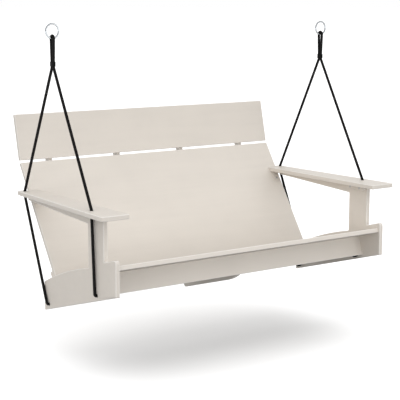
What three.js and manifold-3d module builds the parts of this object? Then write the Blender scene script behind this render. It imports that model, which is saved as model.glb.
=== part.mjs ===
// Porch swing: a wide two-person seat cut from plastic lumber sheet, hung by one rope a side from two
// steel rings. Millimetres, +X to the right as seen from the front, +Y to the back, +Z up.
// Everything is laid out on a bench frame whose origin is the lower front corner of the side panels,
// and the finished group is then shifted so that its origin lies midway between the rings' hook seats.

import * as THREE from 'three';
import { mergeVertices } from 'three/addons/utils/BufferGeometryUtils.js';
import Module from 'manifold-3d';

const wasm = await Module();
wasm.setup();

// ---- driving dimensions ------------------------------------------------------------------------

const SHEET = 19; // plastic lumber sheet, three quarters of an inch
const BACK_SHEET = 16; // the two back boards are five eighths of an inch
const GAP = 0.3; // between pieces that touch
const INSIDE_WIDTH = 1372; // between the two side panels
const BOARD_SIDE_GAP = 2.5; // from a back board's end to the side panel

const SEAT_SLOPE = THREE.MathUtils.degToRad(16.4); // seat and bottom edges fall to the back
const BACK_LEAN = THREE.MathUtils.degToRad(33.6); // lower back board, from vertical
const HEAD_LEAN = THREE.MathUtils.degToRad(13.1); // headrest board, from vertical

const PANEL_DEPTH = 579; // front lip to the rail's rear end
const LIP_HEIGHT = 149;
const LIP_RADIUS = 15;
const POST_FRONT = 88.5;
const POST_REAR = 207.5;
const RAIL_AT_POST = 80; // height of the rail's top edge where it meets the post
const RAIL_BULGE = 12; // how far the rail's top edge bows above a straight line
const WING_AT_POST = 259; // height of the arm support's lower edge at the post
const WING_AT_TIP = 285;
const WING_TIP = 712;
const CORNER_RADIUS = 5;

const ARM_TOP = 321;
const ARM_FRONT = 4;
const ARM_INNER = 637; // x of the inner edge
const ARM_OUTER_FRONT = 764; // the arm is wider at the front
const ARM_OUTER_REAR = 728;
const ARM_REAR = 766; // the arm runs past the end of the back board, and is notched round it
const ARM_CORNER_RADIUS = 6;

const SEAT_UNDERSIDE = 102; // above the bottom edges, square to the slope
const SEAT_FRONT = -21; // along the slope
const SEAT_REAR = 566;
const APRON_FRONT = 110; // front face, along the slope
const APRON_BOTTOM = 15; // above the bottom edges
const RIB_REAR = 565;
const RIB_REAR_RADIUS = 15;
const RIB_RISE_START = 230; // where the rib's bottom edge starts to rise to the apron
const RIB_RISE = 21;

const BACK_BEND = new THREE.Vector2(819.5, 438); // (y, z) where the two back boards' front faces meet
const BACK_GAP = 10; // slot between the two back boards
const HEADREST_HEIGHT = 202;

const BACK_RIB_DEPTH = 30;
const BACK_RIB_DOWN = 120; // length behind each board, from the bend
const BACK_RIB_UP = 100;
const BACK_RIB_RADIUS = 14;
const BACK_RIB_X = [-528, -176, 176, 528];
const BACK_RIB_SCREWS = [32, 78]; // along each leg from the bend

const CLEAT_WIDTH = 38;
const SEAT_CLEAT = [165, 520]; // start and end along the slope
const SEAT_CLEAT_SCREWS = [215, 470];
const ARM_CLEAT = [96, 204]; // front and rear y
const ARM_CLEAT_SCREWS = [120, 180];
const BRACKET_THICKNESS = 3;
const BRACKET_LEG = 58;
const BRACKET_X = [644, 678];
const BRACKET_HOLE = 40; // from the bend to the screw, along each leg

const ROPE_RADIUS = 6.35; // half-inch rope
const ROPE_FOOT_X = 713; // just outside the side panels
const ROPE_HOLE_RADIUS = 7.5;
const ROPE_HOLE_SIDES = 16;
const ROPE_ARM_FRONT = new THREE.Vector2(718, 154); // (x, y) of the holes in the armrests
const ROPE_ARM_REAR = new THREE.Vector2(707, 737);
const ROPE_FOOT_FRONT = 146; // along the slope, holes in the side panels
const ROPE_FOOT_REAR = 559;
const ROPE_FOOT_HEIGHT = 22; // above the bottom edge
const ROPE_SIDES = 10;
const ROPE_STEP = 60; // along a straight stretch
const ROPE_ARC_STEP = 0.35; // radians, along a bend
const BEND_AT_FOOT = 8.5; // radii of the rope's middle where it turns
const BEND_AT_ARM = 16;
const BEND_AT_FORK = 16;
const BEND_ABOVE_BINDING = 60;
const KNOT_RADIUS = 13;
const KNOT_LENGTH = 24;

const RING_X = 712;
const RING_Y = 459; // directly above the centre of mass
const RING_Z = 1006.5;
const RING_RADIUS = 29; // to the middle of the wire
const WIRE_RADIUS = 4;
const FORK_Z = 862; // where the rope's two legs come together
const FORK_HALF = ROPE_RADIUS + 0.35; // half the distance between the two strands at the fork
const EYE_HALF = 11; // half the width of the rope's turn through the ring
const EYE_RADIUS = 10.95; // its bend, just under the half width so that the two corners stay apart
const ROPE_ON_WIRE = 0.4; // clearance between the rope and the ring's wire
const SEIZING = [866, 884]; // bottom and top of the binding above the fork
const SEIZING_BORE = ROPE_RADIUS + 0.3;
const SEIZING_WALL = 1.8;
const FORK_TOP = SEIZING[1] + 4; // where the strands part again to go round the ring

const SCREW_SHANK = 2.2;
const SCREW_HEAD = 4.8;
const SCREW_HEAD_HEIGHT = 2.8;
const SCREW_POINT = 3; // length of the point
const SCREW_SIDES = 10;
const SCREW_BITE = 13; // depth of a screw in the piece it holds to
const PILOT_RADIUS = 2.6;
const PILOT_SIDES = 12;
const PAST = 1; // how far a drill or a cutter runs past the face it cuts

// ---- colours and finishes ----------------------------------------------------------------------

const plastic = () => new THREE.MeshStandardMaterial({ color: 0xdad2cb, roughness: 0.6, metalness: 0 });
const steel = () => new THREE.MeshStandardMaterial({ color: 0xb9bbbd, roughness: 0.3, metalness: 1 });
const cord = () => new THREE.MeshStandardMaterial({ color: 0x0b0a0a, roughness: 0.85, metalness: 0 });

// ---- geometry helpers --------------------------------------------------------------------------

// A point s along the sloping bottom edge and n square to it, as (y, z).
function onSlope(s, n) {
  const c = Math.cos(SEAT_SLOPE);
  const k = Math.sin(SEAT_SLOPE);
  return new THREE.Vector2(s * c + n * k, n * c - s * k);
}

// A unit vector up a board that leans back by this angle, and one square to it, out of its back face.
const upBoard = (lean) => new THREE.Vector2(Math.sin(lean), Math.cos(lean));
const outOfBack = (lean) => new THREE.Vector2(Math.cos(lean), -Math.sin(lean));

// A point reached from a start by going a along one direction and b along another.
const step = (start, a, alongA, b, alongB) =>
  start.clone().addScaledVector(alongA, a).addScaledVector(alongB, b);

// Where the line through a point in one direction crosses a second line, as (y, z).
function crossing(p, d, q, e) {
  const w = q.clone().sub(p);
  const t = (w.x * e.y - w.y * e.x) / (d.x * e.y - d.y * e.x);
  return p.clone().addScaledVector(d, t);
}

// An outline of straight edges, where a corner may have a radius of its own as its third number.
function outline(corners) {
  const shape = new THREE.Shape();
  corners.forEach(([x, y, radius = 0], i) => {
    const here = new THREE.Vector2(x, y);
    const before = new THREE.Vector2(...corners.at(i - 1).slice(0, 2)).sub(here);
    const after = new THREE.Vector2(...corners[(i + 1) % corners.length].slice(0, 2)).sub(here);
    const half = Math.abs(before.angleTo(after)) / 2;
    const reach = radius / Math.tan(half);
    const start = here.clone().addScaledVector(before.normalize(), reach);
    const end = here.clone().addScaledVector(after.normalize(), reach);
    if (i === 0) shape.moveTo(start.x, start.y);
    else shape.lineTo(start.x, start.y);
    if (radius > 0) shape.quadraticCurveTo(here.x, here.y, end.x, end.y);
  });
  shape.closePath();
  return shape;
}

const extrude = (shape, depth) =>
  new THREE.ExtrudeGeometry(shape, { depth, bevelEnabled: false, curveSegments: 4 });

// A slab whose outline is drawn in (y, z) and which runs from one x to the other.
function slabAcross(shape, fromX, toX) {
  const turn = new THREE.Matrix4().makeBasis(
    new THREE.Vector3(0, 1, 0),
    new THREE.Vector3(0, 0, 1),
    new THREE.Vector3(1, 0, 0),
  );
  return extrude(shape, toX - fromX).applyMatrix4(turn).translate(fromX, 0, 0);
}

// Vertices shared, and triangles that have no area at a turned shape's poles left out.
function closed(geometry) {
  geometry.deleteAttribute('normal');
  geometry.deleteAttribute('uv');
  const merged = mergeVertices(geometry, 1e-4);
  const kept = [];
  for (let i = 0; i < merged.index.count; i += 3) {
    const [a, b, c] = [0, 1, 2].map((k) => merged.index.getX(i + k));
    if (a !== b && b !== c && c !== a) kept.push(a, b, c);
  }
  merged.setIndex(kept);
  return merged;
}

function toSolid(geometry) {
  const merged = closed(geometry);
  return new wasm.Manifold(new wasm.Mesh({
    numProp: 3,
    vertProperties: Float32Array.from(merged.getAttribute('position').array),
    triVerts: Uint32Array.from(merged.index.array),
  }));
}

function toGeometry(solid) {
  const mesh = solid.getMesh();
  const geometry = new THREE.BufferGeometry();
  geometry.setAttribute('position', new THREE.BufferAttribute(mesh.vertProperties, 3));
  geometry.setIndex(new THREE.BufferAttribute(mesh.triVerts, 1));
  return geometry;
}

// A cylinder between two points, for drilling.
function drillBit(from, to, radius, sides = PILOT_SIDES) {
  const along = to.clone().sub(from);
  const turn = new THREE.Quaternion().setFromUnitVectors(
    new THREE.Vector3(0, 1, 0),
    along.clone().normalize(),
  );
  const middle = from.clone().addScaledVector(along, 0.5);
  return new THREE.CylinderGeometry(radius, radius, along.length(), sides)
    .applyQuaternion(turn)
    .translate(middle.x, middle.y, middle.z);
}

const cut = (geometry, tools) =>
  toGeometry(tools.reduce((solid, tool) => solid.subtract(toSolid(tool)), toSolid(geometry)));

// ---- the assembly ------------------------------------------------------------------------------

const swing = new THREE.Group();

function place(name, geometry, material) {
  geometry.computeVertexNormals();
  const mesh = new THREE.Mesh(geometry, material);
  mesh.name = name;
  swing.add(mesh);
}

const SIDES = [{ name: 'left', sign: -1 }, { name: 'right', sign: 1 }];
const HALF_INSIDE = INSIDE_WIDTH / 2;
const HALF_BOARD = HALF_INSIDE - BOARD_SIDE_GAP;

// Both ends of a slab on one side, given by its inner and outer distance from the middle.
const spanX = (sign, inner, outer) => (sign > 0 ? [inner, outer] : [-outer, -inner]);

// ---- screws, and the pilot holes they need -----------------------------------------------------

const screws = []; // { name, seat, along, length, joins: [node names] }

function addScrew(name, seat, along, length, joins) {
  screws.push({ name, seat, along: along.clone().normalize(), length, joins });
}

function screwGeometry({ seat, along, length }) {
  const profile = [
    [0, -length],
    [SCREW_SHANK, SCREW_POINT - length],
    [SCREW_SHANK, GAP],
    [SCREW_HEAD, GAP],
    [SCREW_HEAD, SCREW_HEAD_HEIGHT / 2],
    [SCREW_HEAD * 0.7, SCREW_HEAD_HEIGHT],
    [0, SCREW_HEAD_HEIGHT],
  ].map(([r, h]) => new THREE.Vector2(r, h));
  const outward = along.clone().negate();
  const turn = new THREE.Quaternion().setFromUnitVectors(new THREE.Vector3(0, 1, 0), outward);
  return closed(new THREE.LatheGeometry(profile, SCREW_SIDES))
    .applyQuaternion(turn)
    .translate(seat.x, seat.y, seat.z);
}

function pilotHoles(node) {
  return screws.filter((screw) => screw.joins.includes(node)).map(({ seat, along, length }) =>
    drillBit(
      seat.clone().addScaledVector(along, -PAST),
      seat.clone().addScaledVector(along, length + 0.5),
      PILOT_RADIUS,
    ));
}

function placeDrilled(name, geometry, material, extraHoles = []) {
  const holes = [...pilotHoles(name), ...extraHoles];
  place(name, holes.length > 0 ? cut(geometry, holes) : closed(geometry), material);
}

// ---- places that several pieces share ----------------------------------------------------------

const ARM_UNDERSIDE = ARM_TOP - SHEET;
const up = upBoard(BACK_LEAN);
const back = outOfBack(BACK_LEAN);
const headUp = upBoard(HEAD_LEAN);
const headBack = outOfBack(HEAD_LEAN);
const along = onSlope(1, 0);
const seatTop = onSlope(0, SEAT_UNDERSIDE + SHEET);
const boardFoot = crossing(BACK_BEND, up, seatTop, along); // where the back's front face meets the seat
const level = new THREE.Vector2(1, 0);
const boardAtArm = crossing(BACK_BEND, up, new THREE.Vector2(0, ARM_UNDERSIDE), level);
const backBend = crossing(
  step(BACK_BEND, 0, up, BACK_SHEET, back),
  up,
  step(BACK_BEND, 0, headUp, BACK_SHEET, headBack),
  headUp,
);
const point3 = (x, yz) => new THREE.Vector3(x, yz.x, yz.y);
const direction3 = (yz) => new THREE.Vector3(0, yz.x, yz.y);

// ---- where the screws go -----------------------------------------------------------------------

BACK_RIB_X.forEach((x, i) => {
  const legs = [
    { node: 'lower_back_board', name: 'lower', run: up.clone().negate(), out: back },
    { node: 'headrest_board', name: 'upper', run: headUp, out: headBack },
  ];
  legs.forEach(({ node, name, run, out }) => {
    BACK_RIB_SCREWS.forEach((reach, k) => {
      addScrew(
        `back_rib_${i + 1}_${name}_screw_${k + 1}`,
        point3(x, step(backBend, reach, run, BACK_RIB_DEPTH + GAP, out)),
        direction3(out).negate(),
        BACK_RIB_DEPTH + SCREW_BITE,
        [node, `back_rib_${i + 1}`],
      );
    });
  });
});

SIDES.forEach(({ name, sign }) => {
  const outward = new THREE.Vector3(sign, 0, 0);
  SEAT_CLEAT_SCREWS.forEach((s, k) => {
    const at = onSlope(s, SEAT_UNDERSIDE - CLEAT_WIDTH / 2);
    addScrew(
      `${name}_seat_cleat_screw_${k + 1}`,
      point3(sign * (HALF_INSIDE - SHEET - GAP), at),
      outward,
      SHEET + SCREW_BITE,
      [`${name}_seat_cleat`, `${name}_side_panel`],
    );
  });
  ARM_CLEAT_SCREWS.forEach((y, k) => {
    addScrew(
      `${name}_arm_cleat_screw_${k + 1}`,
      new THREE.Vector3(sign * (HALF_INSIDE - SHEET - GAP), y, ARM_UNDERSIDE - SHEET / 2),
      outward,
      SHEET + SCREW_BITE,
      [`${name}_arm_cleat`, `${name}_side_panel`],
    );
  });
  const bracketMiddle = sign * (BRACKET_X[0] + BRACKET_X[1]) / 2;
  addScrew(
    `${name}_arm_bracket_screw_1`,
    new THREE.Vector3(bracketMiddle, boardAtArm.x - BRACKET_HOLE, ARM_UNDERSIDE - GAP - BRACKET_THICKNESS),
    new THREE.Vector3(0, 0, 1),
    BRACKET_THICKNESS + SCREW_BITE,
    [`${name}_arm_bracket`, `${name}_armrest`],
  );
  addScrew(
    `${name}_arm_bracket_screw_2`,
    point3(bracketMiddle, step(boardAtArm, -BRACKET_HOLE, up, -BRACKET_THICKNESS - GAP, back)),
    direction3(back),
    BRACKET_THICKNESS + SCREW_BITE,
    [`${name}_arm_bracket`, 'lower_back_board'],
  );
});

// ---- side panels -------------------------------------------------------------------------------

function sidePanelOutline() {
  const rearBottom = onSlope(PANEL_DEPTH / Math.cos(SEAT_SLOPE), 0);
  const rearTop = crossing(seatTop, along, rearBottom, new THREE.Vector2(0, 1));
  const ledge = LIP_HEIGHT - POST_FRONT * Math.tan(SEAT_SLOPE);
  const armUnder = ARM_UNDERSIDE - GAP;
  return outline([
    [0, 0, CORNER_RADIUS],
    [rearBottom.x, rearBottom.y, CORNER_RADIUS],
    [rearTop.x, rearTop.y],
    ...railTop(rearTop, new THREE.Vector2(POST_REAR, RAIL_AT_POST)),
    [POST_REAR, RAIL_AT_POST, CORNER_RADIUS],
    [POST_REAR, WING_AT_POST, CORNER_RADIUS],
    [WING_TIP, WING_AT_TIP],
    [WING_TIP, armUnder],
    [POST_FRONT, armUnder],
    [POST_FRONT, ledge, CORNER_RADIUS],
    [0, LIP_HEIGHT, LIP_RADIUS],
  ]);
}

// Points along the bowed top edge of the rail, between its two ends.
function railTop(rear, front) {
  const middle = rear.clone().lerp(front, 0.5);
  const normal = new THREE.Vector2(rear.y - front.y, front.x - rear.x).normalize();
  const peak = middle.addScaledVector(normal, -2 * RAIL_BULGE * Math.sign(-normal.y));
  return new THREE.QuadraticBezierCurve(rear, peak, front).getPoints(10).slice(1, -1)
    .map((p) => [p.x, p.y]);
}

SIDES.forEach(({ name, sign }) => {
  const [fromX, toX] = spanX(sign, HALF_INSIDE, HALF_INSIDE + SHEET);
  const ropeHoles = [ROPE_FOOT_FRONT, ROPE_FOOT_REAR].map((s) => {
    const at = onSlope(s, ROPE_FOOT_HEIGHT);
    return drillBit(point3(fromX - PAST, at), point3(toX + PAST, at), ROPE_HOLE_RADIUS, ROPE_HOLE_SIDES);
  });
  placeDrilled(`${name}_side_panel`, slabAcross(sidePanelOutline(), fromX, toX), plastic(), ropeHoles);
});

// ---- armrests ----------------------------------------------------------------------------------

SIDES.forEach(({ name, sign }) => {
  const corners = [
    [ARM_INNER, ARM_FRONT, ARM_CORNER_RADIUS],
    [ARM_OUTER_FRONT, ARM_FRONT, ARM_CORNER_RADIUS],
    [ARM_OUTER_REAR, ARM_REAR, ARM_CORNER_RADIUS],
    [ARM_INNER, ARM_REAR],
  ];
  const drawn = sign > 0 ? corners : corners.map(([x, y, r]) => [-x, y, r]).reverse();
  const blank = extrude(outline(drawn), SHEET).translate(0, 0, ARM_UNDERSIDE);
  // the notch is cut to the lean of the back board that the arm meets
  const above = step(boardAtArm, 2 * SHEET, up, -GAP, back);
  const below = step(boardAtArm, -2 * SHEET, up, -GAP, back);
  const behind = outline([
    [above.x, above.y],
    [below.x, below.y],
    [ARM_REAR + SHEET, below.y],
    [ARM_REAR + SHEET, above.y],
  ]);
  const notch = slabAcross(behind, -HALF_INSIDE, HALF_INSIDE);
  const ropeHoles = [ROPE_ARM_FRONT, ROPE_ARM_REAR].map((at) => drillBit(
    new THREE.Vector3(sign * at.x, at.y, ARM_UNDERSIDE - PAST),
    new THREE.Vector3(sign * at.x, at.y, ARM_TOP + PAST),
    ROPE_HOLE_RADIUS,
    ROPE_HOLE_SIDES,
  ));
  placeDrilled(`${name}_armrest`, blank, plastic(), [notch, ...ropeHoles]);
});

// ---- back boards -------------------------------------------------------------------------------

function boardOutline(foot, top, out) {
  return outline([
    [foot.x, foot.y],
    [foot.x + out.x * BACK_SHEET, foot.y + out.y * BACK_SHEET],
    [top.x + out.x * BACK_SHEET, top.y + out.y * BACK_SHEET],
    [top.x, top.y],
  ]);
}

const lowerTop = step(BACK_BEND, -BACK_GAP / 2, up, 0, back);
// the foot is cut to the slope of the seat that it stands on
const footFront = step(boardFoot, GAP, onSlope(0, 1), 0, along);
const footBack = crossing(step(lowerTop, 0, up, BACK_SHEET, back), up, footFront, along);
const lowerShape = outline([
  [footFront.x, footFront.y],
  [footBack.x, footBack.y],
  [lowerTop.x + back.x * BACK_SHEET, lowerTop.y + back.y * BACK_SHEET],
  [lowerTop.x, lowerTop.y],
]);
placeDrilled('lower_back_board', slabAcross(lowerShape, -HALF_BOARD, HALF_BOARD), plastic());

const headFoot = step(BACK_BEND, BACK_GAP / 2, headUp, 0, headBack);
const headTop = step(headFoot, HEADREST_HEIGHT, headUp, 0, headBack);
const headShape = boardOutline(headFoot, headTop, headBack);
placeDrilled('headrest_board', slabAcross(headShape, -HALF_BOARD, HALF_BOARD), plastic());

// ---- ribs on edge that tie the headrest to the lower board -------------------------------------

const midway = outOfBack((BACK_LEAN + HEAD_LEAN) / 2);
const insideBend = step(backBend, GAP, midway, 0, up);
const acrossBend = BACK_RIB_DEPTH / Math.cos((BACK_LEAN - HEAD_LEAN) / 2);
const outsideBend = step(insideBend, acrossBend, midway, 0, up);
const lowEnd = step(insideBend, -BACK_RIB_DOWN, up, 0, back);
const highEnd = step(insideBend, BACK_RIB_UP, headUp, 0, headBack);
const backRibShape = outline([
  [insideBend.x, insideBend.y],
  [lowEnd.x, lowEnd.y],
  [...step(lowEnd, BACK_RIB_DEPTH, back, 0, up), BACK_RIB_RADIUS],
  [outsideBend.x, outsideBend.y],
  [...step(highEnd, BACK_RIB_DEPTH, headBack, 0, up), BACK_RIB_RADIUS],
  [highEnd.x, highEnd.y],
]);

BACK_RIB_X.forEach((x, i) => {
  placeDrilled(`back_rib_${i + 1}`, slabAcross(backRibShape, x - SHEET / 2, x + SHEET / 2), plastic());
});

// ---- seat, apron, middle rib and cleats --------------------------------------------------------

// A bar square to the slope, from one (s, n) corner to the other.
function slopeBar(s0, n0, s1, n1) {
  const corners = [onSlope(s0, n0), onSlope(s1, n0), onSlope(s1, n1), onSlope(s0, n1)];
  return outline(corners.map((p) => [p.x, p.y]));
}

const halfSeat = HALF_INSIDE - GAP;
const seatShape = slopeBar(SEAT_FRONT, SEAT_UNDERSIDE, SEAT_REAR, SEAT_UNDERSIDE + SHEET);
placeDrilled('seat_board', slabAcross(seatShape, -halfSeat, halfSeat), plastic());

const apronShape = slopeBar(APRON_FRONT, APRON_BOTTOM, APRON_FRONT + SHEET, SEAT_UNDERSIDE - GAP);
placeDrilled('front_apron', slabAcross(apronShape, -halfSeat, halfSeat), plastic());

function ribOutline() {
  const front = APRON_FRONT + SHEET + GAP;
  const shape = new THREE.Shape();
  const to = (s, n) => [onSlope(s, n).x, onSlope(s, n).y];
  shape.moveTo(...to(front, RIB_RISE));
  shape.quadraticCurveTo(...to((front + RIB_RISE_START) / 2, 0), ...to(RIB_RISE_START, 0));
  shape.lineTo(...to(RIB_REAR - RIB_REAR_RADIUS, 0));
  shape.quadraticCurveTo(...to(RIB_REAR, 0), ...to(RIB_REAR, RIB_REAR_RADIUS));
  shape.lineTo(...to(RIB_REAR, SEAT_UNDERSIDE - GAP));
  shape.lineTo(...to(front, SEAT_UNDERSIDE - GAP));
  shape.closePath();
  return shape;
}
placeDrilled('middle_rib', slabAcross(ribOutline(), -SHEET / 2, SHEET / 2), plastic());

SIDES.forEach(({ name, sign }) => {
  const [fromX, toX] = spanX(sign, HALF_INSIDE - SHEET - GAP, HALF_INSIDE - GAP);
  const seatCleat = slopeBar(
    SEAT_CLEAT[0],
    SEAT_UNDERSIDE - CLEAT_WIDTH,
    SEAT_CLEAT[1],
    SEAT_UNDERSIDE - GAP,
  );
  placeDrilled(`${name}_seat_cleat`, slabAcross(seatCleat, fromX, toX), plastic());
  const armCleat = outline([
    [ARM_CLEAT[0], ARM_UNDERSIDE - SHEET],
    [ARM_CLEAT[1], ARM_UNDERSIDE - SHEET],
    [ARM_CLEAT[1], ARM_UNDERSIDE - GAP],
    [ARM_CLEAT[0], ARM_UNDERSIDE - GAP],
  ]);
  placeDrilled(`${name}_arm_cleat`, slabAcross(armCleat, fromX, toX), plastic());
});

// behind the foot of the back board, standing on the seat
const footCleatFront = step(footBack, 0, up, GAP, back);
const footCleatTop = step(footCleatFront, CLEAT_WIDTH, up, 0, back);
const footCleatRear = step(footCleatFront, SHEET / Math.cos(BACK_LEAN - SEAT_SLOPE), along, 0, up);
const footCleatCorner = crossing(footCleatRear, up, footCleatTop, back);
const footCleatShape = outline([
  [footCleatFront.x, footCleatFront.y],
  [footCleatRear.x, footCleatRear.y],
  [footCleatCorner.x, footCleatCorner.y],
  [footCleatTop.x, footCleatTop.y],
]);
placeDrilled('back_foot_cleat', slabAcross(footCleatShape, -HALF_BOARD, HALF_BOARD), plastic());

// ---- brackets under the rear ends of the armrests ----------------------------------------------

SIDES.forEach(({ name, sign }) => {
  const [fromX, toX] = spanX(sign, ...BRACKET_X);
  const under = new THREE.Vector2(0, -1);
  const forward = new THREE.Vector2(-1, 0);
  const corner = step(boardAtArm, GAP / Math.cos(BACK_LEAN), forward, GAP, under);
  const outer = crossing(corner, up, corner, forward);
  const inner = crossing(
    step(corner, 0, up, -BRACKET_THICKNESS, back),
    up,
    step(corner, 0, forward, BRACKET_THICKNESS, under),
    forward,
  );
  const front = step(outer, BRACKET_LEG, forward, 0, under);
  const low = step(outer, -BRACKET_LEG, up, 0, back);
  const shape = outline([
    [outer.x, outer.y],
    [front.x, front.y],
    [front.x, front.y - BRACKET_THICKNESS],
    [inner.x, inner.y],
    [low.x - back.x * BRACKET_THICKNESS, low.y - back.y * BRACKET_THICKNESS],
    [low.x, low.y],
  ]);
  placeDrilled(`${name}_arm_bracket`, slabAcross(shape, fromX, toX), steel());
});

screws.forEach((screw) => place(screw.name, screwGeometry(screw), steel()));

// ---- rings -------------------------------------------------------------------------------------

SIDES.forEach(({ name, sign }) => {
  const ring = new THREE.TorusGeometry(RING_RADIUS, WIRE_RADIUS, 10, 36).rotateX(Math.PI / 2);
  place(`${name}_ring`, closed(ring).translate(sign * RING_X, RING_Y, RING_Z), steel());
});

// ---- ropes -------------------------------------------------------------------------------------

// One rope a side: in from a stopper knot at the front foot hole, up through the armrest, over the
// ring, down through the armrest again and in at the rear foot hole. Corners are (x, y, z, bend radius).
function ropeCorners() {
  const front = onSlope(ROPE_FOOT_FRONT, ROPE_FOOT_HEIGHT);
  const rear = onSlope(ROPE_FOOT_REAR, ROPE_FOOT_HEIGHT);
  const wireTop = RING_Z - RING_RADIUS + WIRE_RADIUS;
  const crown = wireTop + ROPE_ON_WIRE + ROPE_RADIUS; // the rope's middle where it rests on the wire
  return [
    [HALF_INSIDE, front.x, front.y, 0],
    [ROPE_FOOT_X, front.x, front.y, BEND_AT_FOOT],
    [...ROPE_ARM_FRONT, ARM_UNDERSIDE, BEND_AT_ARM],
    [...ROPE_ARM_FRONT, ARM_TOP, BEND_AT_ARM],
    [RING_X, RING_Y - FORK_HALF, FORK_Z, BEND_AT_FORK],
    [RING_X, RING_Y - FORK_HALF, FORK_TOP, BEND_ABOVE_BINDING],
    [RING_X, RING_Y - EYE_HALF, crown, EYE_RADIUS],
    [RING_X, RING_Y + EYE_HALF, crown, EYE_RADIUS],
    [RING_X, RING_Y + FORK_HALF, FORK_TOP, BEND_ABOVE_BINDING],
    [RING_X, RING_Y + FORK_HALF, FORK_Z, BEND_AT_FORK],
    [...ROPE_ARM_REAR, ARM_TOP, BEND_AT_ARM],
    [...ROPE_ARM_REAR, ARM_UNDERSIDE, BEND_AT_ARM],
    [ROPE_FOOT_X, rear.x, rear.y, BEND_AT_FOOT],
    [HALF_INSIDE, rear.x, rear.y, 0],
  ];
}

// Stations along the route: arcs at the corners, and even steps between them.
function ropeStations(corners, sign) {
  const stations = [];
  const at = ([x, y, z]) => new THREE.Vector3(sign * x, y, z);
  corners.forEach((corner, i) => {
    const here = at(corner);
    const radius = corner[3];
    if (radius === 0) {
      runTo(stations, here);
      return;
    }
    const before = at(corners[i - 1]).sub(here).normalize();
    const after = at(corners[i + 1]).sub(here).normalize();
    const turn = Math.PI - before.angleTo(after);
    const reach = radius * Math.tan(turn / 2);
    const bisector = before.clone().add(after).normalize();
    const centre = here.clone().addScaledVector(bisector, radius / Math.cos(turn / 2));
    const start = here.clone().addScaledVector(before, reach).sub(centre);
    const axis = before.clone().negate().cross(after).normalize();
    const pieces = Math.max(2, Math.ceil(turn / ROPE_ARC_STEP));
    for (let k = 0; k <= pieces; k += 1) {
      const point = start.clone().applyAxisAngle(axis, (turn * k) / pieces).add(centre);
      if (k === 0) runTo(stations, point);
      else stations.push(point);
    }
  });
  return stations;
}

function runTo(stations, end) {
  if (stations.length === 0) {
    stations.push(end);
    return;
  }
  const start = stations.at(-1);
  const pieces = Math.ceil(start.distanceTo(end) / ROPE_STEP);
  for (let k = 1; k <= pieces; k += 1) stations.push(start.clone().lerp(end, k / pieces));
}

// A curve whose even parameter steps fall on the given stations, whatever their spacing.
class StationCurve extends THREE.Curve {
  constructor(stations) {
    super();
    this.stations = stations;
  }

  getPoint(t, target = new THREE.Vector3()) {
    const place = t * (this.stations.length - 1);
    const i = Math.min(Math.floor(place), this.stations.length - 2);
    return target.copy(this.stations[i]).lerp(this.stations[i + 1], place - i);
  }

  getPointAt(u, target) {
    return this.getPoint(u, target);
  }

  getTangentAt(u, target = new THREE.Vector3()) {
    const last = this.stations.length - 1;
    const i = Math.round(u * last);
    const before = this.stations[Math.max(i - 1, 0)];
    const after = this.stations[Math.min(i + 1, last)];
    const into = this.stations[i].clone().sub(before).normalize();
    const onward = after.clone().sub(this.stations[i]).normalize();
    return target.copy(into.add(onward).normalize());
  }
}

function tubeAlong(stations, radius, sides) {
  const section = new THREE.Shape();
  for (let k = 0; k < sides; k += 1) {
    const turn = (2 * Math.PI * k) / sides;
    const point = [radius * Math.cos(turn), radius * Math.sin(turn)];
    if (k === 0) section.moveTo(...point);
    else section.lineTo(...point);
  }
  section.closePath();
  return new THREE.ExtrudeGeometry(section, {
    steps: stations.length - 1,
    extrudePath: new StationCurve(stations),
    bevelEnabled: false,
  });
}

// A stopper knot as a short barrel, drawn up against the inner face of the side panel.
function knotGeometry(centre, sign) {
  const profile = [
    [0, 0],
    [KNOT_RADIUS * 0.75, 0],
    [KNOT_RADIUS, KNOT_LENGTH * 0.3],
    [KNOT_RADIUS, KNOT_LENGTH * 0.7],
    [KNOT_RADIUS * 0.65, KNOT_LENGTH],
    [0, KNOT_LENGTH],
  ].map(([r, h]) => new THREE.Vector2(r, h));
  return closed(new THREE.LatheGeometry(profile, 14))
    .rotateZ(sign * (Math.PI / 2))
    .translate(sign * (HALF_INSIDE - GAP), centre.x, centre.y);
}

// A round-ended sleeve bound about both strands of the rope, just above the fork.
function seizingGeometry(sign) {
  const roundEnded = (path, radius) => {
    path.absarc(0, FORK_HALF, radius, 0, Math.PI, false);
    path.absarc(0, -FORK_HALF, radius, Math.PI, 2 * Math.PI, false);
    path.closePath();
    return path;
  };
  const shape = roundEnded(new THREE.Shape(), SEIZING_BORE + SEIZING_WALL);
  shape.holes.push(roundEnded(new THREE.Path(), SEIZING_BORE));
  return new THREE.ExtrudeGeometry(shape, {
    depth: SEIZING[1] - SEIZING[0],
    bevelEnabled: false,
    curveSegments: 8,
  }).translate(sign * RING_X, RING_Y, SEIZING[0]);
}

SIDES.forEach(({ name, sign }) => {
  const rope = tubeAlong(ropeStations(ropeCorners(), sign), ROPE_RADIUS, ROPE_SIDES);
  place(`${name}_rope`, closed(rope), cord());
  place(`${name}_seizing`, closed(seizingGeometry(sign)), cord());
  [['front', ROPE_FOOT_FRONT], ['rear', ROPE_FOOT_REAR]].forEach(([end, s]) => {
    place(`${name}_${end}_knot`, knotGeometry(onSlope(s, ROPE_FOOT_HEIGHT), sign), cord());
  });
});

// ---- the origin, midway between the two rings' hook seats --------------------------------------

swing.position.set(0, -RING_Y, -(RING_Z + RING_RADIUS - WIRE_RADIUS));

export default swing;
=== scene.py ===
"""The looks of a two-person porch swing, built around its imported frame.

Every sheet piece is copied from the frame and gets routed edges. Ropes, bindings, knots, rings and
screws are modelled anew where the frame's plain solids stand. Metres, +X right as seen from the
front, +Y to the back, +Z up, with the origin midway between the rings' hook seats.
"""

import math

import bmesh
import bpy
import numpy as np
from bpy.props import FloatProperty, FloatVectorProperty, IntProperty, PointerProperty
from mathutils import Matrix, Vector


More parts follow.
